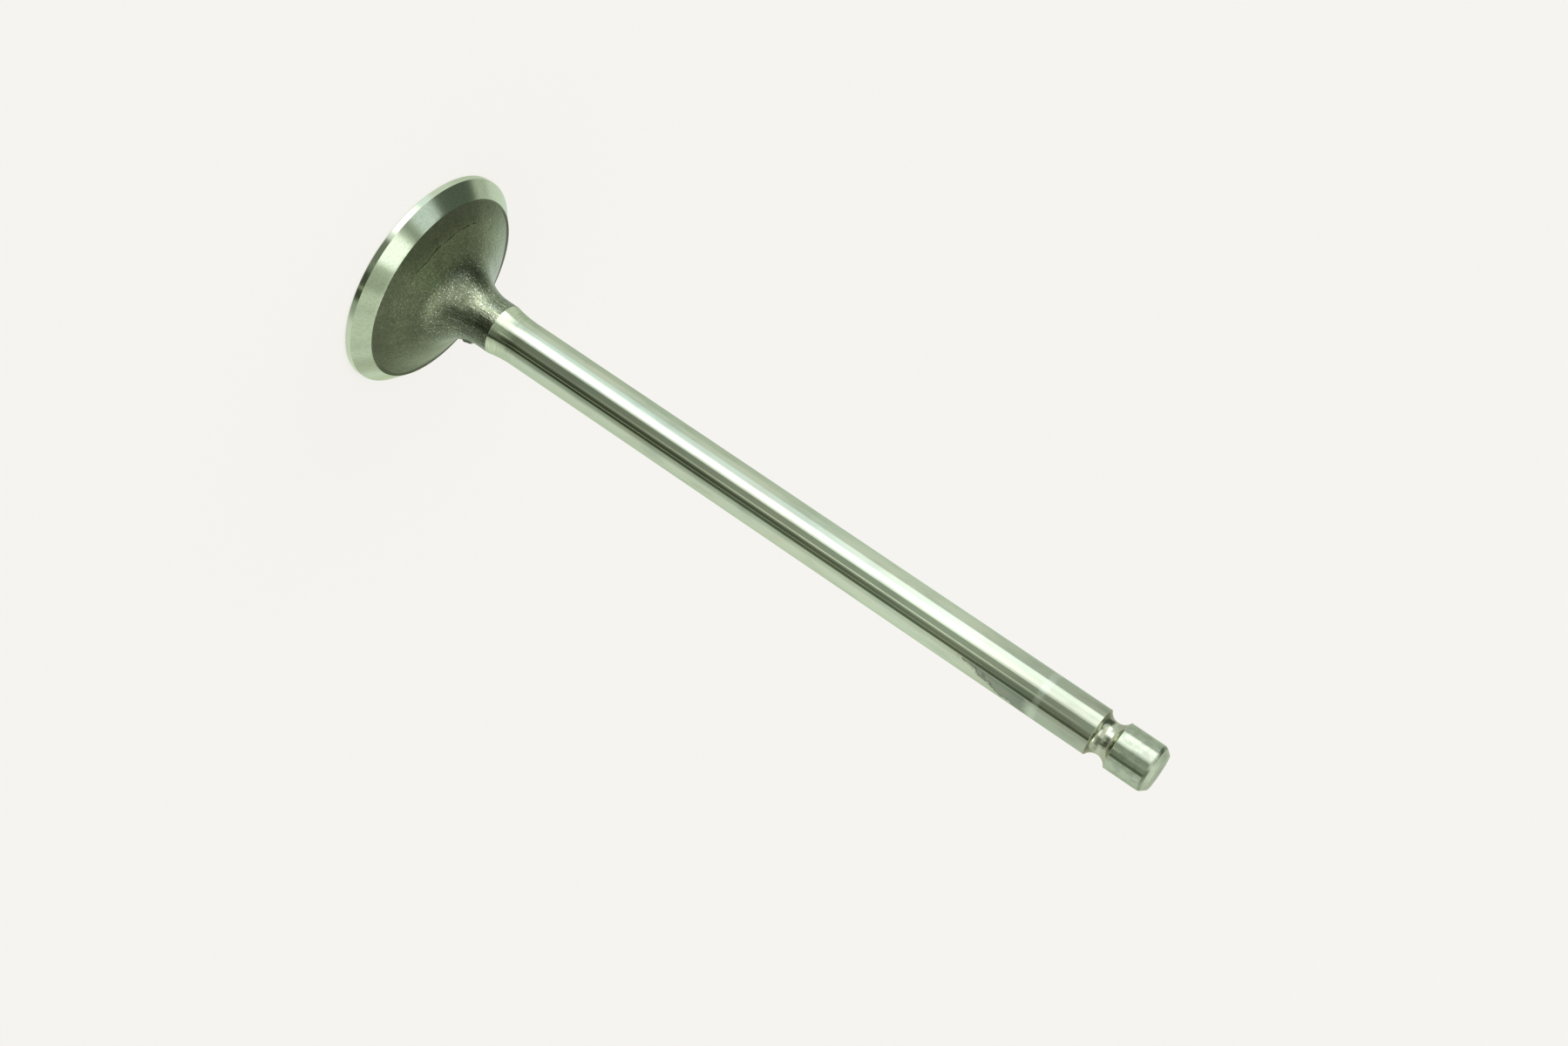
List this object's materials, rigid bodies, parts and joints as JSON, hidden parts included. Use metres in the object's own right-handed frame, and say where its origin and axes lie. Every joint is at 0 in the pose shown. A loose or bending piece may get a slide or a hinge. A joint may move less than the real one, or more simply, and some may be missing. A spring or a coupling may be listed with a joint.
{
  "type": "engine valve",
  "caption": "Poppet valve of an engine: long ground stem with a keeper groove, flared neck and a flat head with a conical seat.",
  "frame": {"origin": "middle of the flat combustion face, which the valve stands on", "axes": "+Z along the stem, from the head to the tip; X and Y across it, all directions alike"},
  "size_m": [0.0434, 0.0434, 0.163],
  "materials": {
    "valve_steel": "stem, groove, tip, seat and combustion face ground bright, underhead and neck left as forged and blasted"
  },
  "bodies": {
    "root": {"valve": "valve_steel"}
  },
  "joints": []
}
